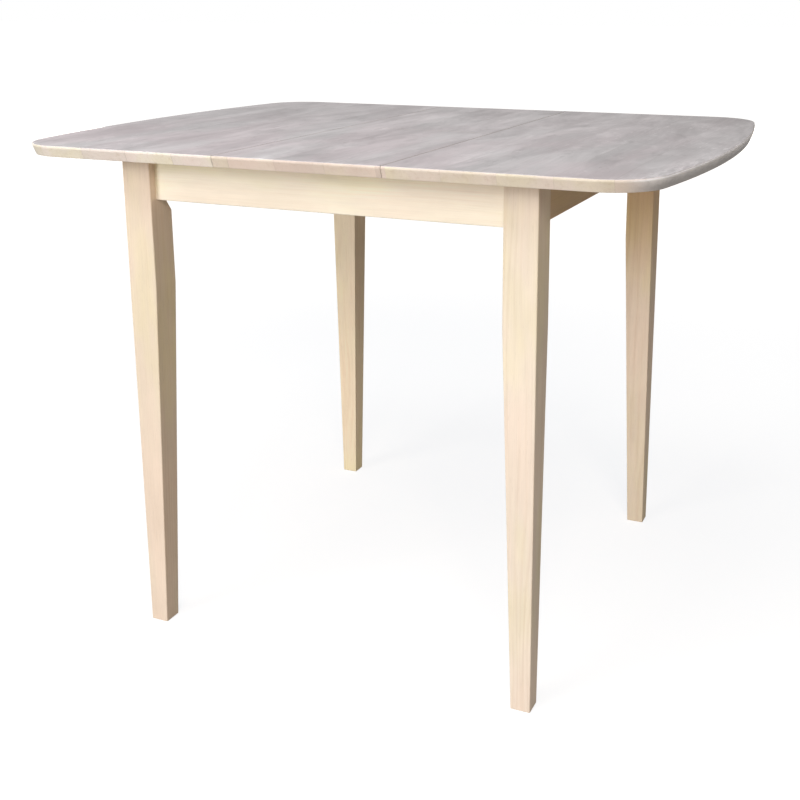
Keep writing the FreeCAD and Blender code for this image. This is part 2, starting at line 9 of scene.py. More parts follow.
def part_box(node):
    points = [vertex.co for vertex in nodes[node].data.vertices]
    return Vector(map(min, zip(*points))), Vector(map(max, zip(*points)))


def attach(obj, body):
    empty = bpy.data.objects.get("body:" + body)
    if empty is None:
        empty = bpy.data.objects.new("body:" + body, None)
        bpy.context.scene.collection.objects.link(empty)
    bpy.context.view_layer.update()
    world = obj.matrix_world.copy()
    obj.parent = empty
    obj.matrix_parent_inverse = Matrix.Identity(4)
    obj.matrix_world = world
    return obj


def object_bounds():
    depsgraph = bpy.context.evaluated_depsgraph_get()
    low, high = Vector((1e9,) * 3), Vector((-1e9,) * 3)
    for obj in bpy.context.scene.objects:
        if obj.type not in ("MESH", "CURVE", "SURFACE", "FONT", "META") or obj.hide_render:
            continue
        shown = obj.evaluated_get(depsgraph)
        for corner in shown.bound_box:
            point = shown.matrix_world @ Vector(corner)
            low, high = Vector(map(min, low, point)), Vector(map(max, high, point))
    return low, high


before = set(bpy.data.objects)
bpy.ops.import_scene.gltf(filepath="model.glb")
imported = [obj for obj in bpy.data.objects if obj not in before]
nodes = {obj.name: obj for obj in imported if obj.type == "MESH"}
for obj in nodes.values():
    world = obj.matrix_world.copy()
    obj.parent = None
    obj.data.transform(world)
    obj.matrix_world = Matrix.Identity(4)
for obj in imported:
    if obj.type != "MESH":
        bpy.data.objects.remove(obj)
cad_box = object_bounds()

MM = 0.001
WHITE = (1.0, 1.0, 1.0)

# How high the top's upper side lies, and how far from the middle the leaf's two seams lie
TOP_LEVEL = cad_box[1][2]
SEAM_PLACE = (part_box("leaf_back")[1][0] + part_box("top_right")[0][0]) / 2


class Graph:
    """The node tree of one material or of the world, built from its inputs to its output."""

    def __init__(self, owner):
        self.owner = owner
        owner.use_nodes = True
        self.tree = owner.node_tree
        self.tree.nodes.clear()

    def add(self, kind, values=None, **settings):
        """A node with its settings, and its inputs linked or set."""
        node = self.tree.nodes.new(f"ShaderNode{kind}")
        for name, setting in settings.items():
            setattr(node, name, setting)
        for key, value in (values or {}).items():
            if isinstance(value, bpy.types.NodeSocket):
                self.tree.links.new(value, node.inputs[key])
            else:
                node.inputs[key].default_value = value
        return node

    def math(self, operation, *values):
        """The result of one operation on numbers."""
        return self.add("Math", dict(enumerate(values)), operation=operation).outputs[0]

    def product(self, first, *others):
        """Numbers multiplied with each other."""
        for other in others:
            first = self.math("MULTIPLY", first, other)
        return first

    def vector(self, x, y, z):
        """A vector from three numbers."""
        return self.add("CombineXYZ", {0: x, 1: y, 2: z}).outputs[0]

    def split(self, vector):
        """The three numbers of a vector."""
        return self.add("SeparateXYZ", {0: vector}).outputs[:]

    def pattern(self, place, across, along, detail, roughness=0.5, distortion=0.0):
        """A soft random value of about 0 to 1, with so many waves a metre across and along."""
        x, y, z = place
        spot = self.vector(self.product(x, across), self.product(y, across), self.product(z, along))
        values = {"Vector": spot, "Scale": 1.0, "Detail": detail, "Roughness": roughness,
                  "Distortion": distortion}
        return self.add("TexNoise", values).outputs["Fac"]

    def span(self, value, low, high, start=0.0, end=1.0):
        """A value carried smoothly from one span to another."""
        values = {"Value": value, "From Min": low, "From Max": high, "To Min": start, "To Max": end}
        return self.add("MapRange", values, interpolation_type="SMOOTHSTEP").outputs["Result"]

    def mix(self, factor, first, second, blend="MIX"):
        """Two colours mixed, each a socket or three numbers."""
        first, second = (
            tone if isinstance(tone, bpy.types.NodeSocket) else (*tone, 1.0)
            for tone in (first, second)
        )
        values = {0: factor, 6: first, 7: second}
        return self.add("Mix", values, data_type="RGBA", blend_type=blend).outputs[2]

    def filtered(self, tone, tint):
        """A colour multiplied by another."""
        return self.mix(1.0, tone, tint, "MULTIPLY")

    def scaled(self, tone, level):
        """A colour multiplied by a grey level."""
        return self.filtered(tone, self.vector(level, level, level))

    def finish(self, shader, output="OutputMaterial"):
        """The material or the world, with this shader as its output."""
        self.add(output, {"Surface": shader})
        return self.owner


def colour(red, green, blue):
    """A colour given as it shows on a screen, from 0 to 255, in linear light."""
    return tuple(Color((red / 255, green / 255, blue / 255)).from_srgb_to_scene_linear())


def dimmed(tone, level):
    """A colour multiplied by a number, and kept under white."""
    return tuple(min(part * level, 1.0) for part in tone)


def tinted(tone, tint):
    """A colour with each of its parts multiplied by a number of its own."""
    return tuple(part * share for part, share in zip(tone, tint))


# Patterns: waves a metre across the grain and along it, detail, roughness and distortion
RING_SWAY = (14.0, 1.6, 2.0)
RING_SWELL = (45.0, 3.5, 3.0)
RING_AREAS = (30.0, 2.4, 2.0)
FIBRES = (900.0, 12.0, 3.0, 0.6)
PORES = (1400.0, 70.0, 2.0)
BANDS = (150.0, 2.0, 5.0, 0.65)
DRIFT = (11.0, 3.5, 3.0, 0.6)
PATCHES = (20.0, 6.0, 4.0, 0.6)

# Spans: a value from the first number to the second becomes 0 to 1, or the third to the fourth
RING_CLEARNESS = (0.40, 0.60, 0.2, 1.0)
RINGS_ON_END_GRAIN = (0.0, 1.0, 1.0, 0.25)
END_GRAIN_FACING = (0.6, 0.9)
PORE_SPAN = (0.62, 0.72)
BAND_SPAN = (0.50, 0.72)
PINK_SPAN = (0.36, 0.64)
YELLOW_SPAN = (0.52, 0.30)
FIBRE_SHADE = (0.25, 0.75, 0.965, 1.025)
PATCH_SHADE = (0.30, 0.70, 0.95, 1.04)
# Painted highlight on the rounded edges, stronger in some areas
EDGE_HIGHLIGHT = (0.999, 0.90, 0.0, 0.8)
EDGE_HIGHLIGHT_AREAS = (0.30, 0.55, 0.3, 1.0)
JOINT_STRENGTH = (0.40, 0.65, 0.05, 0.45)

# Growth rings about a pith, whose place across and in depth is chance times a reach, plus a start
RING_GAP = 6.5 * MM
SWAY_REACH = 75 * MM
SWELL_TURN = 8.0
PITH_ACROSS = (0.16, -0.08)
PITH_DEPTH = (0.10, -0.14)
LATE_WOOD_POWER = 2.2

# Glued staves of the top
STAVE_WIDTH = 74.5 * MM
STAVE_VARIETY = 0.15
JOINT_WIDTH = 0.6 * MM

# Tones of bare wood, as shares of its own
PINK_TINT = (1.0, 0.955, 0.97)
YELLOW_TINT = (1.0, 1.0, 0.90)
END_GRAIN_TINT = (0.97, 0.95, 0.92)
# Painted warm shade, for a leg under the top
WARM_SHADE_TINT = (1.13, 0.98, 0.76)
PORE_STRENGTH = 0.5
PORE_LEVEL = 0.55
JOINT_LEVEL = 0.5
EDGE_HIGHLIGHT_LEVEL = 1.12
HUE_REACH = 0.02

# Surface of bare wood
CHANCE_REACH = (9.0, 7.0, 5.0)
EDGE_RADIUS = 1.6 * MM
EDGE_SAMPLES = 4
RING_RELIEF = 0.25
PORE_RELIEF = -0.8
JOINT_RELIEF = -1.5
WOOD_BUMP = {"Strength": 0.25, "Distance": 0.12 * MM}
WOOD_ROUGHNESS = 0.55
FIBRE_ROUGHNESS = 0.16
RING_ROUGHNESS = -0.05
WOOD_SPECULAR = 0.22

ACROSS_DEPTH_ALONG = {"x": (1, 2, 0), "y": (0, 2, 1), "z": (0, 1, 2)}


def board_chance(graph, axes, apart, seed):
    """Three random numbers for each board, where boards lie in cells of their own."""
    cell = graph.vector(
        graph.math("FLOOR", graph.product(axes[0], apart[0])),
        graph.math("FLOOR", graph.product(axes[1], apart[1])),
        seed,
    )
    return graph.split(graph.add("TexWhiteNoise", {"Vector": cell}).outputs["Color"])


def stave_chance(graph, across, start, seed):
    """Three random numbers for each glued stave, and how near its joint is, from 0 to 1."""
    spot = graph.math("MULTIPLY_ADD", across, 1 / STAVE_WIDTH, seed + 0.5 - start / STAVE_WIDTH)
    values = {"W": spot, "Scale": 1.0, "Randomness": STAVE_VARIETY}
    cell = graph.add("TexVoronoi", values, voronoi_dimensions="1D", feature="F1")
    gap = graph.add("TexVoronoi", values, voronoi_dimensions="1D", feature="DISTANCE_TO_EDGE")
    joint = graph.span(gap.outputs["Distance"], 0.0, JOINT_WIDTH / STAVE_WIDTH, 1.0, 0.0)
    return graph.split(cell.outputs["Color"]), joint


class Grain:
    """The grain of one board or of each stave, as values from 0 to 1."""

    def __init__(self, graph, board, chance, end_grain):
        self.graph = graph
        self.chance = chance
        self.place = [
            graph.math("MULTIPLY_ADD", number, reach, part)
            for number, reach, part in zip(chance, CHANCE_REACH, board)
        ]
        self.ring = graph.product(self.growth_rings(), graph.span(end_grain, *RINGS_ON_END_GRAIN))
        self.fibre = self.pattern(FIBRES)
        self.pore = graph.span(self.pattern(PORES), *PORE_SPAN)
        self.drift = self.pattern(DRIFT)
        self.shade = graph.product(
            graph.span(self.fibre, *FIBRE_SHADE), graph.span(self.pattern(PATCHES), *PATCH_SHADE))

    def pattern(self, form):
        """A pattern of this form in the grain."""
        return self.graph.pattern(self.place, *form)

    def growth_rings(self):
        """Late wood of the growth rings, clear in some places and faint in others."""
        graph = self.graph
        across, depth, _ = self.place
        sway = graph.math("SUBTRACT", self.pattern(RING_SWAY), 0.5)
        pith_x = graph.math("ADD", graph.math("MULTIPLY_ADD", self.chance[0], *PITH_ACROSS), across)
        pith_x = graph.math("MULTIPLY_ADD", sway, SWAY_REACH, pith_x)
        pith_z = graph.math("SUBTRACT", depth, graph.math("MULTIPLY_ADD", self.chance[1], *PITH_DEPTH))
        squares = [graph.product(part, part) for part in (pith_x, pith_z)]
        turns = graph.product(graph.math("SQRT", graph.math("ADD", *squares)), 2 * math.pi / RING_GAP)
        wave = graph.math("SINE", graph.math("MULTIPLY_ADD", self.pattern(RING_SWELL), SWELL_TURN, turns))
        late = graph.math("POWER", graph.math("MULTIPLY_ADD", wave, 0.5, 0.5), LATE_WOOD_POWER)
        return graph.product(late, graph.span(self.pattern(RING_AREAS), *RING_CLEARNESS))

    def tone(self, pale, deep, ring_strength, band_strength):
        """Bands along the grain, a slow drift from yellow to pink, rings and open pores."""
        graph = self.graph
        tone = graph.mix(graph.product(self.ring, ring_strength), pale, deep)
        tone = graph.mix(graph.span(self.pattern(BANDS), *BAND_SPAN, 0.0, band_strength), tone, deep)
        tone = graph.mix(graph.span(self.drift, *PINK_SPAN), tone, graph.filtered(tone, PINK_TINT))
        tone = graph.mix(graph.span(self.drift, *YELLOW_SPAN), tone, graph.filtered(tone, YELLOW_TINT))
        pore = graph.product(self.pore, PORE_STRENGTH * band_strength)
        tone = graph.mix(pore, tone, dimmed(deep, PORE_LEVEL))
        return graph.scaled(tone, self.shade)


def board_tone(graph, tone, chance, strength):
    """A tone changed a little for each board or stave."""
    hue = HUE_REACH * strength
    return graph.add("HueSaturation", {
        "Hue": graph.math("MULTIPLY_ADD", chance[1], hue, 0.5 - hue / 2),
        "Saturation": graph.math("MULTIPLY_ADD", chance[2], 2 * strength, 1.0 - strength),
        "Value": graph.math("MULTIPLY_ADD", chance[0], strength, 1.0 - strength / 2),
        "Color": tone,
    }).outputs[0]


class TopTones(NamedTuple):
    """Tones of the top's face, of its bowed ends and of its underside; the grey of the face and of the
    ends is painted cool shade.
    """

    face: tuple
    ends: tuple
    under: tuple


# Patterns of the top's dull face and of its bowed ends
CLOUDS = (13.0, 4.5, 6.0, 0.62, 0.6)
STREAKS = (28.0, 10.0, 5.0, 0.65, 0.7)
SMUDGES = (24.0, 11.0, 5.0, 0.60, 0.8)
TORN_SPOTS = (150.0, 38.0, 4.0, 0.6, 0.4)
TORN_AREAS = (6.0, 4.0, 3.0)
TINT_DRIFT = (9.0, 3.0, 3.0, 0.6)
# A ragged lower edge for the painted highlight of the bowed ends
RAGGED_END_HIGHLIGHT = (90.0, 50.0, 4.0, 0.65, 0.5)

# Levels of the face, as spans of patterns, of places in metres and of chance
CLOUD_LEVEL = (0.36, 0.64, 0.90, 1.09)
STREAK_LEVEL = (0.50, 0.66, 0.98, 1.07)
SMUDGE_LEVEL = (0.56, 0.70, 1.0, 0.90)
PALE_SPOTS = (0.58, 0.65)
PALE_AREAS = (0.50, 0.62)
PALE_RISE = 0.17
DARK_SPOTS = (0.37, 0.31)
DARK_AREAS = (0.52, 0.44)
DARK_RISE = -0.15
PALE_END_SPOTS = (0.44, 0.56)
PALE_END_BAND = (42 * MM, 4 * MM)
PALE_END_TO_FRONT = (-0.10, -0.26, 0.35, 1.0)
PALE_END_RISE = 0.22
# Painted shade: the face darkens towards its right end
RIGHT_END_PAINTED_SHADE = (0.10, 0.48, 1.0, 0.94)
RING_LEVEL = (0.0, 1.0, 1.0, 0.96)
STAVE_LEVEL = (0.0, 1.0, 0.97, 1.03)
PINK_DRIFT = (0.38, 0.62)
PINK_TO_FRONT = (0.22, -0.25, 0.3, 1.0)
COOL_FACE_TINT = (1.0, 0.992, 1.01)
PINK_FACE_TINT = (1.035, 0.972, 1.003)

# Bowed ends, with a painted highlight towards the upper edge and at the front, and painted shade lower
# down
END_BOW = 41 * MM
END_FACING = (0.40, 0.85, 0.0, 0.92)
END_PLACES = (0.25, 0.35)
END_HIGHLIGHT_RAGGING = 9 * MM
END_LEVEL = (TOP_LEVEL - 8 * MM, TOP_LEVEL + 3.5 * MM, 0.86, 1.58)
END_FRONT_LEVEL = (-0.10, -0.30, 1.0, 1.14)
END_RING_STRENGTH = 0.5
END_PALE_LEVEL = 0.90
END_DEEP_LEVEL = 0.76

# Underside, face, and the painted shade beside the seams
DOWN_FACING = (-0.7, -0.95, 0.0, 0.8)
UP_FACING = (0.60, 0.97)
SEAM_STRENGTH = (1.2 * MM, 0.4 * MM, 0.0, 0.85)
SEAM_SHADE_LEVEL = 0.35


def from_end(graph, axes):
    """How far a place on the top lies inside its bowed end."""
    share = graph.math("DIVIDE", axes[1], cad_box[1][1])
    bow = graph.product(share, share, END_BOW)
    end = graph.math("SUBTRACT", cad_box[1][0], bow)
    return graph.math("SUBTRACT", end, graph.math("ABSOLUTE", axes[0]))


def cloudy_face(graph, axes, grain, face):
    """The dull face of the top: clouds, torn pale streaks and dark smudges on a grey ground, which is
    painted cool shade.
    """
    flat = (axes[0], axes[2], axes[1])
    torn = grain.pattern(TORN_SPOTS)
    where = graph.pattern(flat, *TORN_AREAS)
    pale = graph.product(graph.span(torn, *PALE_SPOTS), graph.span(where, *PALE_AREAS))
    dark = graph.product(graph.span(torn, *DARK_SPOTS), graph.span(where, *DARK_AREAS))
    # Paler spots near the bowed ends, more towards the front
    pale_by_end = graph.product(
        graph.span(from_end(graph, axes), *PALE_END_BAND),
        graph.span(torn, *PALE_END_SPOTS),
        graph.span(axes[1], *PALE_END_TO_FRONT),
    )
    level = graph.product(
        graph.span(graph.pattern(flat, *CLOUDS), *CLOUD_LEVEL),
        graph.span(grain.pattern(STREAKS), *STREAK_LEVEL),
        graph.span(graph.pattern(flat, *SMUDGES), *SMUDGE_LEVEL),
    )
    for spots, rise in ((pale, PALE_RISE), (dark, DARK_RISE), (pale_by_end, PALE_END_RISE)):
        level = graph.math("MULTIPLY_ADD", spots, rise, level)
    level = graph.product(
        level,
        # painted shade towards the right end
        graph.span(axes[0], *RIGHT_END_PAINTED_SHADE),
        graph.span(grain.ring, *RING_LEVEL),
        graph.span(grain.chance[0], *STAVE_LEVEL),
        grain.shade,
    )
    drift = graph.span(graph.pattern(flat, *TINT_DRIFT), *PINK_DRIFT)
    pink = graph.product(drift, graph.span(axes[1], *PINK_TO_FRONT))
    ground = graph.mix(pink, tinted(face, COOL_FACE_TINT), tinted(face, PINK_FACE_TINT))
    return graph.scaled(ground, level)


def end_tone(graph, axes, grain, ends):
    """The tone of the bowed ends: grey, with a painted highlight towards the upper edge and the front,
    and painted shade lower down.
    """
    # Painted highlight in a ragged band under the upper edge, painted shade below it
    height = graph.math("MULTIPLY_ADD", grain.pattern(RAGGED_END_HIGHLIGHT), END_HIGHLIGHT_RAGGING, axes[2])
    level = graph.product(
        graph.span(height, *END_LEVEL), graph.span(axes[1], *END_FRONT_LEVEL), grain.shade)
    ring = graph.product(grain.ring, END_RING_STRENGTH)
    tone = graph.mix(ring, dimmed(ends, END_PALE_LEVEL), dimmed(ends, END_DEEP_LEVEL))
    return graph.scaled(tone, level)


def top_tone(graph, axes, facing, grain, tone, top):
    """The tone of the top: its underside, its bowed ends and its face over the bare wood; face and ends
    are painted grey as cool shade.
    """
    under = graph.scaled(top.under, grain.shade)
    tone = graph.mix(graph.span(facing[2], *DOWN_FACING), tone, under)
    sides = graph.product(
        graph.span(graph.math("ABSOLUTE", facing[0]), *END_FACING),
        graph.span(graph.math("ABSOLUTE", axes[0]), *END_PLACES),
    )
    tone = graph.mix(sides, tone, end_tone(graph, axes, grain, top.ends))
    # Painted cool shade: the upward face is painted grey
    return graph.mix(graph.span(facing[2], *UP_FACING), tone, cloudy_face(graph, axes, grain, top.face))


def with_seams(graph, axes, facing, tone, face):
    """The tone of the top with painted shade: dark lines beside the gaps where the leaf meets the halves.
    """
    beside = graph.math("ABSOLUTE", graph.math("SUBTRACT", graph.math("ABSOLUTE", axes[0]), SEAM_PLACE))
    seam = graph.product(graph.span(beside, *SEAM_STRENGTH), graph.span(facing[2], *UP_FACING))
    return graph.mix(seam, tone, dimmed(face, SEAM_SHADE_LEVEL))


def make_wood(
    name,
    along,
    tones,
    seed,
    apart=(1.0, 1.0),
    stave_start=None,
    ring_strength=0.24,
    band_strength=0.30,
    board_strength=0.10,
    painted_shade_span=None,
    top=None,
):
    """Sanded bare wood with its grain along one axis, of glued staves where a start is given."""
    pale, deep = tones
    graph = Graph(bpy.data.materials.new(name))
    texture = graph.add("TexCoord")
    axes = graph.split(texture.outputs["Object"])
    facing = graph.split(texture.outputs["Normal"])
    order = ACROSS_DEPTH_ALONG[along]
    joint = None
    if stave_start is None:
        chance = board_chance(graph, axes, apart, seed)
    else:
        chance, joint = stave_chance(graph, axes[order[0]], stave_start, seed)
    end_grain = graph.span(graph.math("ABSOLUTE", facing[order[2]]), *END_GRAIN_FACING)
    grain = Grain(graph, [axes[index] for index in order], chance, end_grain)

    tone = grain.tone(pale, deep, ring_strength, band_strength)
    tone = board_tone(graph, tone, chance, board_strength)
    tone = graph.mix(end_grain, tone, graph.filtered(tone, END_GRAIN_TINT))
    # Painted warm shade towards the top of a leg, where the table's top shades it
    if painted_shade_span:
        tone = graph.mix(graph.span(axes[2], *painted_shade_span), tone, graph.filtered(tone, WARM_SHADE_TINT))
    if top:
        tone = top_tone(graph, axes, facing, grain, tone, top)

    # A painted highlight makes the rounded edges a little paler, where they catch the light
    edge = graph.add("Bevel", {"Radius": EDGE_RADIUS}, samples=EDGE_SAMPLES).outputs[0]
    flat = graph.add("NewGeometry").outputs["True Normal"]
    turned = graph.add("VectorMath", {0: edge, 1: flat}, operation="DOT_PRODUCT").outputs["Value"]
    edge_highlight = graph.product(graph.span(turned, *EDGE_HIGHLIGHT), graph.span(grain.drift, *EDGE_HIGHLIGHT_AREAS))
    tone = graph.mix(edge_highlight, tone, dimmed(pale, EDGE_HIGHLIGHT_LEVEL))
    # Painted shade beside the gaps where the leaf meets the halves
    if top:
        tone = with_seams(graph, axes, facing, tone, top.face)

    relief = graph.math("MULTIPLY_ADD", grain.ring, RING_RELIEF, grain.fibre)
    relief = graph.math("MULTIPLY_ADD", grain.pore, PORE_RELIEF, relief)
    if joint is not None:
        line = graph.product(joint, graph.span(chance[1], *JOINT_STRENGTH))
        tone = graph.mix(line, tone, dimmed(deep, JOINT_LEVEL))
        relief = graph.math("MULTIPLY_ADD", joint, JOINT_RELIEF, relief)
    roughness = graph.math("MULTIPLY_ADD", grain.ring, RING_ROUGHNESS, WOOD_ROUGHNESS)
    shader = graph.add("BsdfPrincipled", {
        "Base Color": tone,
        "Roughness": graph.math("MULTIPLY_ADD", grain.fibre, FIBRE_ROUGHNESS, roughness),
        "Specular IOR Level": WOOD_SPECULAR,
        "Normal": graph.add("Bump", {"Height": relief, "Normal": edge, **WOOD_BUMP}).outputs[0],
    })
    return graph.finish(shader.outputs[0])


# Metal, whose patterns are in the same form as the wood's
METAL_SPOTS = (420.0, 420.0, 4.0, 0.6)
METAL_MARKS = (3500.0, 3500.0, 2.0)
METAL_SPOT_SPAN = (0.35, 0.70)
METAL_SPOT_ROUGHNESS = 0.22
METAL_BUMP = {"Strength": 0.25, "Distance": 0.05 * MM}


def make_metal(name, tone, worn_tone, roughness):
    """Plain metal with fine turning marks and dull spots."""
    graph = Graph(bpy.data.materials.new(name))
    axes = graph.split(graph.add("TexCoord").outputs["Object"])
    spots = graph.pattern(axes, *METAL_SPOTS)
    marks = graph.pattern(axes, *METAL_MARKS)
    shader = graph.add("BsdfPrincipled", {
        "Base Color": graph.mix(graph.span(spots, *METAL_SPOT_SPAN), tone, worn_tone),
        "Metallic": 1.0,
        "Roughness": graph.math("MULTIPLY_ADD", spots, METAL_SPOT_ROUGHNESS, roughness),
        "Normal": graph.add("Bump", {"Height": marks, **METAL_BUMP}).outputs[0],
    })
    return graph.finish(shader.outputs[0])


# Tones of the top, and the first and second tone of each other wood and of each metal
TOP_LEFT_PALE = colour(234, 229, 225)
LEAF_PALE = colour(225, 215, 207)
TOP_RIGHT_PALE = colour(228, 219, 211)
TOP_DEEP = colour(202, 186, 168)
# The grey of the top's face and of its ends is painted cool shade over the warm wood
TOP_TONES = TopTones(
    face=colour(210, 208, 210), ends=colour(213, 214, 221), under=colour(228, 200, 160))
LEG_TONES = colour(238, 225, 208), colour(214, 192, 166)
# The back-left leg's paler, warmer tones are painted light, a lit copy of the leg's tones
LIT_WARM_LEG_TONES = colour(252, 237, 208), colour(228, 203, 164)
LONG_APRON_TONES = colour(254, 248, 231), colour(240, 228, 203)
# The end aprons' darker, warmer tones are painted shade under the top's overhang
SHADED_END_APRON_TONES = colour(221, 197, 163), colour(196, 166, 125)
INNER_TONES = colour(232, 208, 172), colour(204, 172, 132)
BRASS_TONES = colour(214, 176, 98), colour(176, 140, 76)
ZINC_TONES = colour(196, 198, 202), colour(150, 152, 158)

# A joint between staves of the leaf, the levels between which a leg takes painted warm shade, and boards'
# cells
LEAF_JOINT = -34 * MM
WARM_SHADE_LEVELS = (0.40, 0.66)
CELLS_A_METRE = 25.0

top_woods = {
    name: make_wood(
        f"bare_{name}", "y", (pale, TOP_DEEP), seed=seed, stave_start=start, ring_strength=0.30,
        board_strength=0.09, top=TOP_TONES,
    )
    for name, pale, seed, start in (
        ("top_left", TOP_LEFT_PALE, 3.0, -SEAM_PLACE),
        ("leaf", LEAF_PALE, 17.0, LEAF_JOINT),
        ("top_right", TOP_RIGHT_PALE, 29.0, SEAM_PLACE),
    )
}
leg_wood = make_wood("bare_leg_wood", "z", LEG_TONES, seed=4.0)
leg_wood_with_painted_shade = make_wood("bare_leg_painted_shade", "z", LEG_TONES, seed=4.0, painted_shade_span=WARM_SHADE_LEVELS)
lit_warm_leg_wood = make_wood("bare_warm_leg_painted_light", "z", LIT_WARM_LEG_TONES, seed=4.0)
long_apron_wood = make_wood(
    "bare_long_apron", "x", LONG_APRON_TONES, seed=8.0, apart=(0.0, 1.0), ring_strength=0.14,
    band_strength=0.14,
)
shaded_end_apron_wood = make_wood("bare_end_apron_painted_shade", "y", SHADED_END_APRON_TONES, seed=6.0, apart=(1.0, 0.0))
inner_wood = make_wood(
    "bare_inner_wood", "x", INNER_TONES, seed=2.0, apart=(0.0, CELLS_A_METRE), ring_strength=0.35)
block_wood = make_wood("bare_block_wood", "z", INNER_TONES, seed=5.0, ring_strength=0.35)
brass = make_metal("turned_brass", *BRASS_TONES, roughness=0.28)
zinc = make_metal("plated_zinc", *ZINC_TONES, roughness=0.30)

# The first start that fits a node's name gives its material
MATERIAL_BY_START = {
    "top_left": top_woods["top_left"],
    "top_right": top_woods["top_right"],
    "leaf_front": top_woods["leaf"],
    "leaf_back": top_woods["leaf"],
    "leg_back_left": lit_warm_leg_wood,
    "leg_back_right": leg_wood_with_painted_shade,
    "leg_": leg_wood,
    "apron_front": long_apron_wood,
    "apron_back": long_apron_wood,
    "apron_": shaded_end_apron_wood,
    "corner_block": block_wood,
    "slide_rail": inner_wood,
    "leaf_bearer": inner_wood,
    "runner": inner_wood,
    "hinge_": brass,
    "": zinc,
}

for name, node in nodes.items():
    for slot in node.material_slots:
        slot.material = next(
            material for start, material in MATERIAL_BY_START.items() if name.startswith(start))

# Small fasteners
HEAD_RADIUS = 4.0 * MM
HEAD_PROUD = 0.25 * MM
HEAD_EDGE = 0.5 * MM
HEAD_SIDES = 24
RECESS_REACH = 2.1 * MM
RECESS_HALF = 0.45 * MM
RECESS_DEPTH = 1.0 * MM
RUNNER_SCREWS = 3
RUNNER_SCREW_INSET = 20 * MM
BLOCK_SCREW_INSET = 11 * MM
BLOCK_SCREW_RISE = 12 * MM
BOLT_RADIUS = (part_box("hanger_bolts")[1][2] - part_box("hanger_bolts")[0][2]) / 2
THREAD_PITCH = 1.25 * MM
THREAD_HEIGHT = 0.30 * MM
THREAD_SINK = 0.10 * MM
THREAD_LENGTH = 2.6 * MM
THREAD_SIDES = 24
THREAD_END_STEPS = 6
THREAD_FOOT_SHARE = 0.9
FACES_INWARD = 0.999
SAME_PLACE = 1e-6


def facing_turn(place, direction):
    """The frame whose Z axis leaves a place in a direction."""
    return Matrix.Translation(place) @ Vector(direction).to_track_quat("Z", "Y").to_matrix().to_4x4()


def add_corners(corners, turn, places, level):
    """The numbers of new corners, which are these places at a level, turned."""
    start = len(corners)
    corners.extend(tuple(turn @ Vector((x, y, level))) for x, y in places)
    return range(start, len(corners))


def quarter_circle(radius):
    """Places on a quarter of a circle that has the sides of a screw's head."""
    count = HEAD_SIDES // 4
    angles = [math.pi / 2 * number / count for number in range(count + 1)]
    return [(radius * math.cos(angle), radius * math.sin(angle)) for angle in angles]


def screw_head_parts():
    """Corners and faces of a countersunk head with a cross recess, its rim in the plane z = 0."""
    corners, faces = [], []
    outer, inner = quarter_circle(HEAD_RADIUS), quarter_circle(HEAD_RADIUS - HEAD_EDGE)
    cross = [(RECESS_REACH, 0.0), (RECESS_REACH, RECESS_HALF), (RECESS_HALF, RECESS_HALF),
             (RECESS_HALF, RECESS_REACH), (0.0, RECESS_REACH)]
    for quarter in range(4):
        turn = Matrix.Rotation(quarter * math.pi / 2, 3, "Z")
        rim = add_corners(corners, turn, outer, 0.0)
        top = add_corners(corners, turn, inner, HEAD_PROUD)
        lip = add_corners(corners, turn, cross, HEAD_PROUD)
        floor = add_corners(corners, turn, cross, HEAD_PROUD - RECESS_DEPTH)
        middle, = add_corners(corners, turn, [(0.0, 0.0)], HEAD_PROUD - RECESS_DEPTH)
        faces.extend((rim[n], rim[n + 1], top[n + 1], top[n]) for n in range(len(outer) - 1))
        faces.append((lip[0], top[0], top[1], lip[1]))
        faces.append((lip[1], top[1], top[2], top[3], lip[2]))
        faces.append((lip[2], top[3], top[4], top[5], lip[3]))
        faces.append((lip[3], top[5], top[6], lip[4]))
        faces.extend((lip[n], lip[n + 1], floor[n + 1], floor[n]) for n in range(len(cross) - 1))
        faces.append((middle, floor[0], floor[1], floor[2]))
        faces.append((middle, floor[2], floor[3], floor[4]))
    return corners, faces


def thread_parts():
    """Corners and faces of a thread's ridge that climbs along Z."""
    count = round(THREAD_LENGTH / THREAD_PITCH * THREAD_SIDES)
    foot = BOLT_RADIUS - THREAD_SINK
    half_foot = THREAD_FOOT_SHARE * THREAD_PITCH / 2
    corners, faces = [], []
    for number in range(count + 1):
        angle = 2 * math.pi * number / THREAD_SIDES
        rise = THREAD_PITCH * number / THREAD_SIDES
        taper = min(1.0, number / THREAD_END_STEPS, (count - number) / THREAD_END_STEPS)
        crest = foot + (THREAD_SINK + THREAD_HEIGHT) * taper
        for radius, up in ((foot, -half_foot), (crest, 0.0), (foot, half_foot)):
            corners.append((radius * math.cos(angle), radius * math.sin(angle), rise + up))
    for number in range(count):
        for side in range(3):
            here, beside = 3 * number + side, 3 * number + (side + 1) % 3
            faces.append((here, here + 3, beside + 3, beside))
    faces.append((0, 1, 2))
    faces.append((3 * count + 2, 3 * count + 1, 3 * count))
    return corners, faces


def add_copies(name, body, parts, turns):
    """One piece made of a part at several places, which rides on a body."""
    corners, faces = parts
    all_corners, all_faces = [], []
    for turn in turns:
        start = len(all_corners)
        all_corners += [tuple(turn @ Vector(place)) for place in corners]
        all_faces += [tuple(start + index for index in face) for face in faces]
    mesh = bpy.data.meshes.new(name)
    mesh.from_pydata(all_corners, [], all_faces)
    build = bmesh.new()
    build.from_mesh(mesh)
    bmesh.ops.remove_doubles(build, verts=build.verts, dist=SAME_PLACE)
    bmesh.ops.recalc_face_normals(build, faces=build.faces)
    build.to_mesh(mesh)
    build.free()
    mesh.materials.append(zinc)
    piece = bpy.data.objects.new(name, mesh)
    bpy.context.scene.collection.objects.link(piece)
    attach(piece, body)


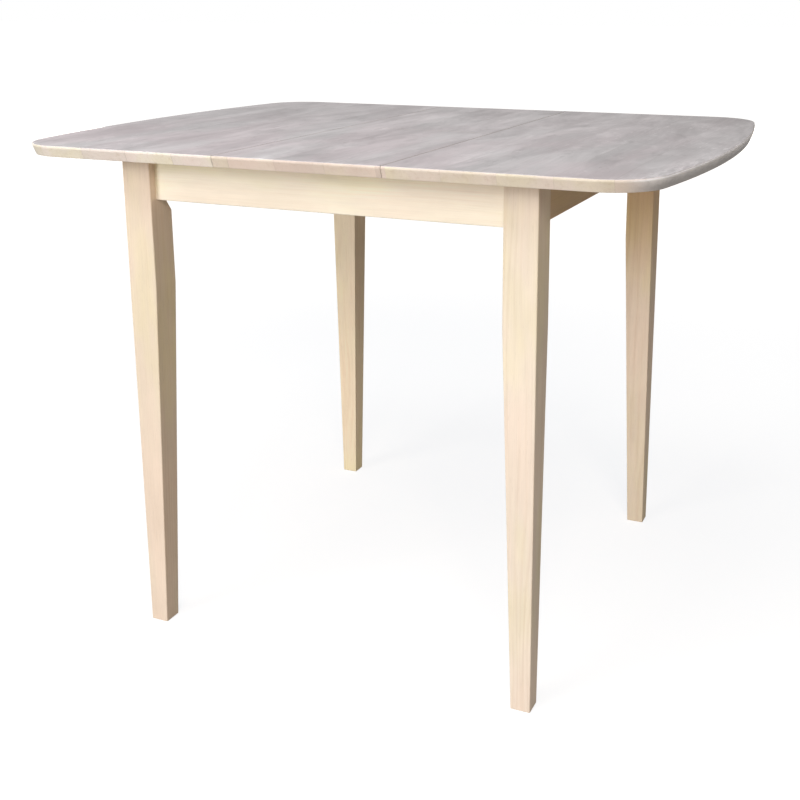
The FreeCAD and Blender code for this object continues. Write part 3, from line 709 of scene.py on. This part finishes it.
def runner_screw_turns(runner, half):
    """Places of the screws that go up through a runner into its half of the top."""
    low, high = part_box(runner)
    half_low, half_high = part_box(half)
    first = max(low[0], half_low[0]) + RUNNER_SCREW_INSET
    last = min(high[0], half_high[0]) - RUNNER_SCREW_INSET
    step = (last - first) / (RUNNER_SCREWS - 1)
    return [
        facing_turn((first + step * number, (low[1] + high[1]) / 2, low[2]), (0, 0, -1))
        for number in range(RUNNER_SCREWS)
    ]


def inward_from(block):
    """The level direction that a corner block's inner face looks in, at 45 degrees."""
    low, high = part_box(block)
    x, y = (-math.copysign(1, low[axis] + high[axis]) for axis in (0, 1))
    return Vector((x, y, 0)).normalized()


def middle_level(name):
    """How high the middle of a node lies."""
    low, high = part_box(name)
    return (low[2] + high[2]) / 2


def block_screw_turns(block):
    """Places of the screws at both ends of a corner block's inner face."""
    inward = inward_from(block)
    along = Vector((-inward.y, inward.x, 0))
    level = middle_level(block)
    mesh = nodes[block].data
    faces = [face for face in mesh.polygons if face.normal.dot(inward) > FACES_INWARD]
    spots = [mesh.vertices[index].co for face in faces for index in face.vertices]
    front = max(spot.dot(inward) for spot in spots)
    reach = [spot.dot(along) for spot in spots if spot.dot(inward) > front - MM]
    return [
        facing_turn(inward * front + along * offset + Vector((0, 0, level + rise)), inward)
        for offset in (min(reach) + BLOCK_SCREW_INSET, max(reach) - BLOCK_SCREW_INSET)
        for rise in (-BLOCK_SCREW_RISE, BLOCK_SCREW_RISE)
    ]


def bolt_end_turn(block):
    """Where the thread of a corner's hanger bolt starts, past its nut."""
    inward = inward_from(block)
    spots = [spot.co for spot in nodes["hanger_bolts"].data.vertices]
    tip = max(spot.dot(inward) for spot in spots if spot.x * inward.x < 0 and spot.y * inward.y < 0)
    start = tip - THREAD_LENGTH - THREAD_PITCH / 2
    return facing_turn(inward * start + Vector((0, 0, middle_level("hanger_bolts"))), inward)


blocks = [name for name in nodes if name.startswith("corner_block")]
add_copies("block_screws", "frame", screw_head_parts(), [
    turn for block in blocks for turn in block_screw_turns(block)])
add_copies("bolt_threads", "frame", thread_parts(), [bolt_end_turn(block) for block in blocks])
for side in ("right", "left"):
    add_copies(f"runner_screws_{side}", f"half_{side}", screw_head_parts(), [
        turn
        for end in ("front", "back")
        for turn in runner_screw_turns(f"runner_{end}_{side}", f"top_{side}")
    ])

# Floor, with a glow that only the camera and reflections see, white away from the table
FLOOR_HALF = 40.0
FLOOR_TONE = (0.36, 0.33, 0.29)
GLOW_TONE = (0.78, 0.805, 0.84)
GLOW_SPAN = (1.2, 4.0)


def add_floor():
    """A wide, pale floor that takes the object's shadow."""
    mesh = bpy.data.meshes.new("floor")
    signs = ((-1, -1), (1, -1), (1, 1), (-1, 1))
    mesh.from_pydata([(x * FLOOR_HALF, y * FLOOR_HALF, 0.0) for x, y in signs], [], [(0, 1, 2, 3)])
    floor = bpy.data.objects.new("floor", mesh)
    bpy.context.scene.collection.objects.link(floor)
    graph = Graph(bpy.data.materials.new("pale_floor"))
    path = graph.add("LightPath").outputs
    seen = graph.math("MAXIMUM", path["Is Camera Ray"], path["Is Glossy Ray"])
    place = graph.add("TexCoord").outputs["Object"]
    away = graph.add("VectorMath", {0: place}, operation="LENGTH").outputs["Value"]
    glow_tone = graph.mix(graph.span(away, *GLOW_SPAN), GLOW_TONE, WHITE)
    glow = graph.add("Emission", {"Color": glow_tone, "Strength": seen})
    diffuse = graph.add("BsdfDiffuse", {"Color": (*FLOOR_TONE, 1.0)})
    both = graph.add("AddShader", {0: diffuse.outputs[0], 1: glow.outputs[0]})
    mesh.materials.append(graph.finish(both.outputs[0]))


# World: even light, and white where it is seen
WORLD_LIGHT = 0.18
WORLD_TONE = (1.0, 0.92, 0.82)


def add_world():
    """The even light of a pale room."""
    world = bpy.data.worlds.new("studio")
    bpy.context.scene.world = world
    graph = Graph(world)
    path = graph.add("LightPath").outputs
    seen = graph.math("MAXIMUM", path["Is Camera Ray"], path["Is Transmission Ray"])
    background = graph.add("Background", {
        "Color": graph.mix(seen, WORLD_TONE, WHITE),
        "Strength": graph.span(seen, 0.0, 1.0, WORLD_LIGHT, 1.0),
    })
    graph.finish(background.outputs[0], "OutputWorld")


# Soft lights, each a rectangle that faces its target
TABLE_MIDDLE = (0.0, 0.0, 0.45)
LEG_MIDDLE = (0.0, 0.0, 0.38)
LIGHTS = {
    "front_light": {
        "place": (-3.6, -7.2, 1.9), "target": TABLE_MIDDLE, "size": (3.6, 3.6),
        "power": 303.0, "tone": WHITE,
    },
    "top_light": {
        "place": (-0.4, -1.5, 3.4), "target": TABLE_MIDDLE, "size": (2.2, 2.2),
        "power": 61.0, "tone": (0.96, 0.98, 1.0),
    },
    "right_light": {
        "place": (3.0, -6.6, 4.2), "target": TABLE_MIDDLE, "size": (3.0, 3.0),
        "power": 250.0, "tone": (1.0, 0.92, 0.80),
    },
    "back_light": {
        "place": (-2.6, 6.6, 0.38), "target": LEG_MIDDLE, "size": (6.0, 0.68),
        "power": 230.0, "tone": (1.0, 0.96, 0.90),
    },
}


def add_soft_light(name, place, target, size, power, tone):
    """A soft light of a width and a height that faces a target."""
    light = bpy.data.lights.new(name, "AREA")
    light.shape = "RECTANGLE"
    light.size, light.size_y = size
    light.energy = power
    light.color = tone
    lamp = bpy.data.objects.new(name, light)
    lamp.location = place
    lamp.rotation_euler = (Vector(target) - Vector(place)).to_track_quat("-Z", "Y").to_euler()
    bpy.context.scene.collection.objects.link(lamp)


# Camera, where the photograph was taken from
CAMERA_PLACE = Vector((0.7667, -1.6761, 0.9654))
CAMERA_YAW = -0.41008
CAMERA_PITCH = 0.23624
CAMERA_ROLL = -0.00209
FOCAL_PIXELS = 1143.5
CENTER_PIXEL = (440.2, 274.9)
PICTURE_PIXELS = 800
SENSOR = 36.0
VIEW_DEPTH = 200.0


def add_camera():
    """The camera, with its picture shifted as the photograph is."""
    lens = bpy.data.cameras.new("camera")
    lens.sensor_width = SENSOR
    lens.lens = FOCAL_PIXELS * SENSOR / PICTURE_PIXELS
    lens.shift_x = (PICTURE_PIXELS / 2 - CENTER_PIXEL[0]) / PICTURE_PIXELS
    lens.shift_y = (CENTER_PIXEL[1] - PICTURE_PIXELS / 2) / PICTURE_PIXELS
    lens.clip_end = VIEW_DEPTH
    camera = bpy.data.objects.new("camera", lens)
    turn = (
        Matrix.Rotation(-CAMERA_YAW, 4, "Z")
        @ Matrix.Rotation(math.pi / 2 - CAMERA_PITCH, 4, "X")
        @ Matrix.Rotation(CAMERA_ROLL, 4, "Z")
    )
    bpy.context.scene.collection.objects.link(camera)
    bpy.context.scene.camera = camera
    camera.matrix_world = Matrix.Translation(CAMERA_PLACE) @ turn


add_floor()
add_world()
for name, light in LIGHTS.items():
    add_soft_light(name, **light)
add_camera()
bpy.context.scene.view_settings.view_transform = "Standard"
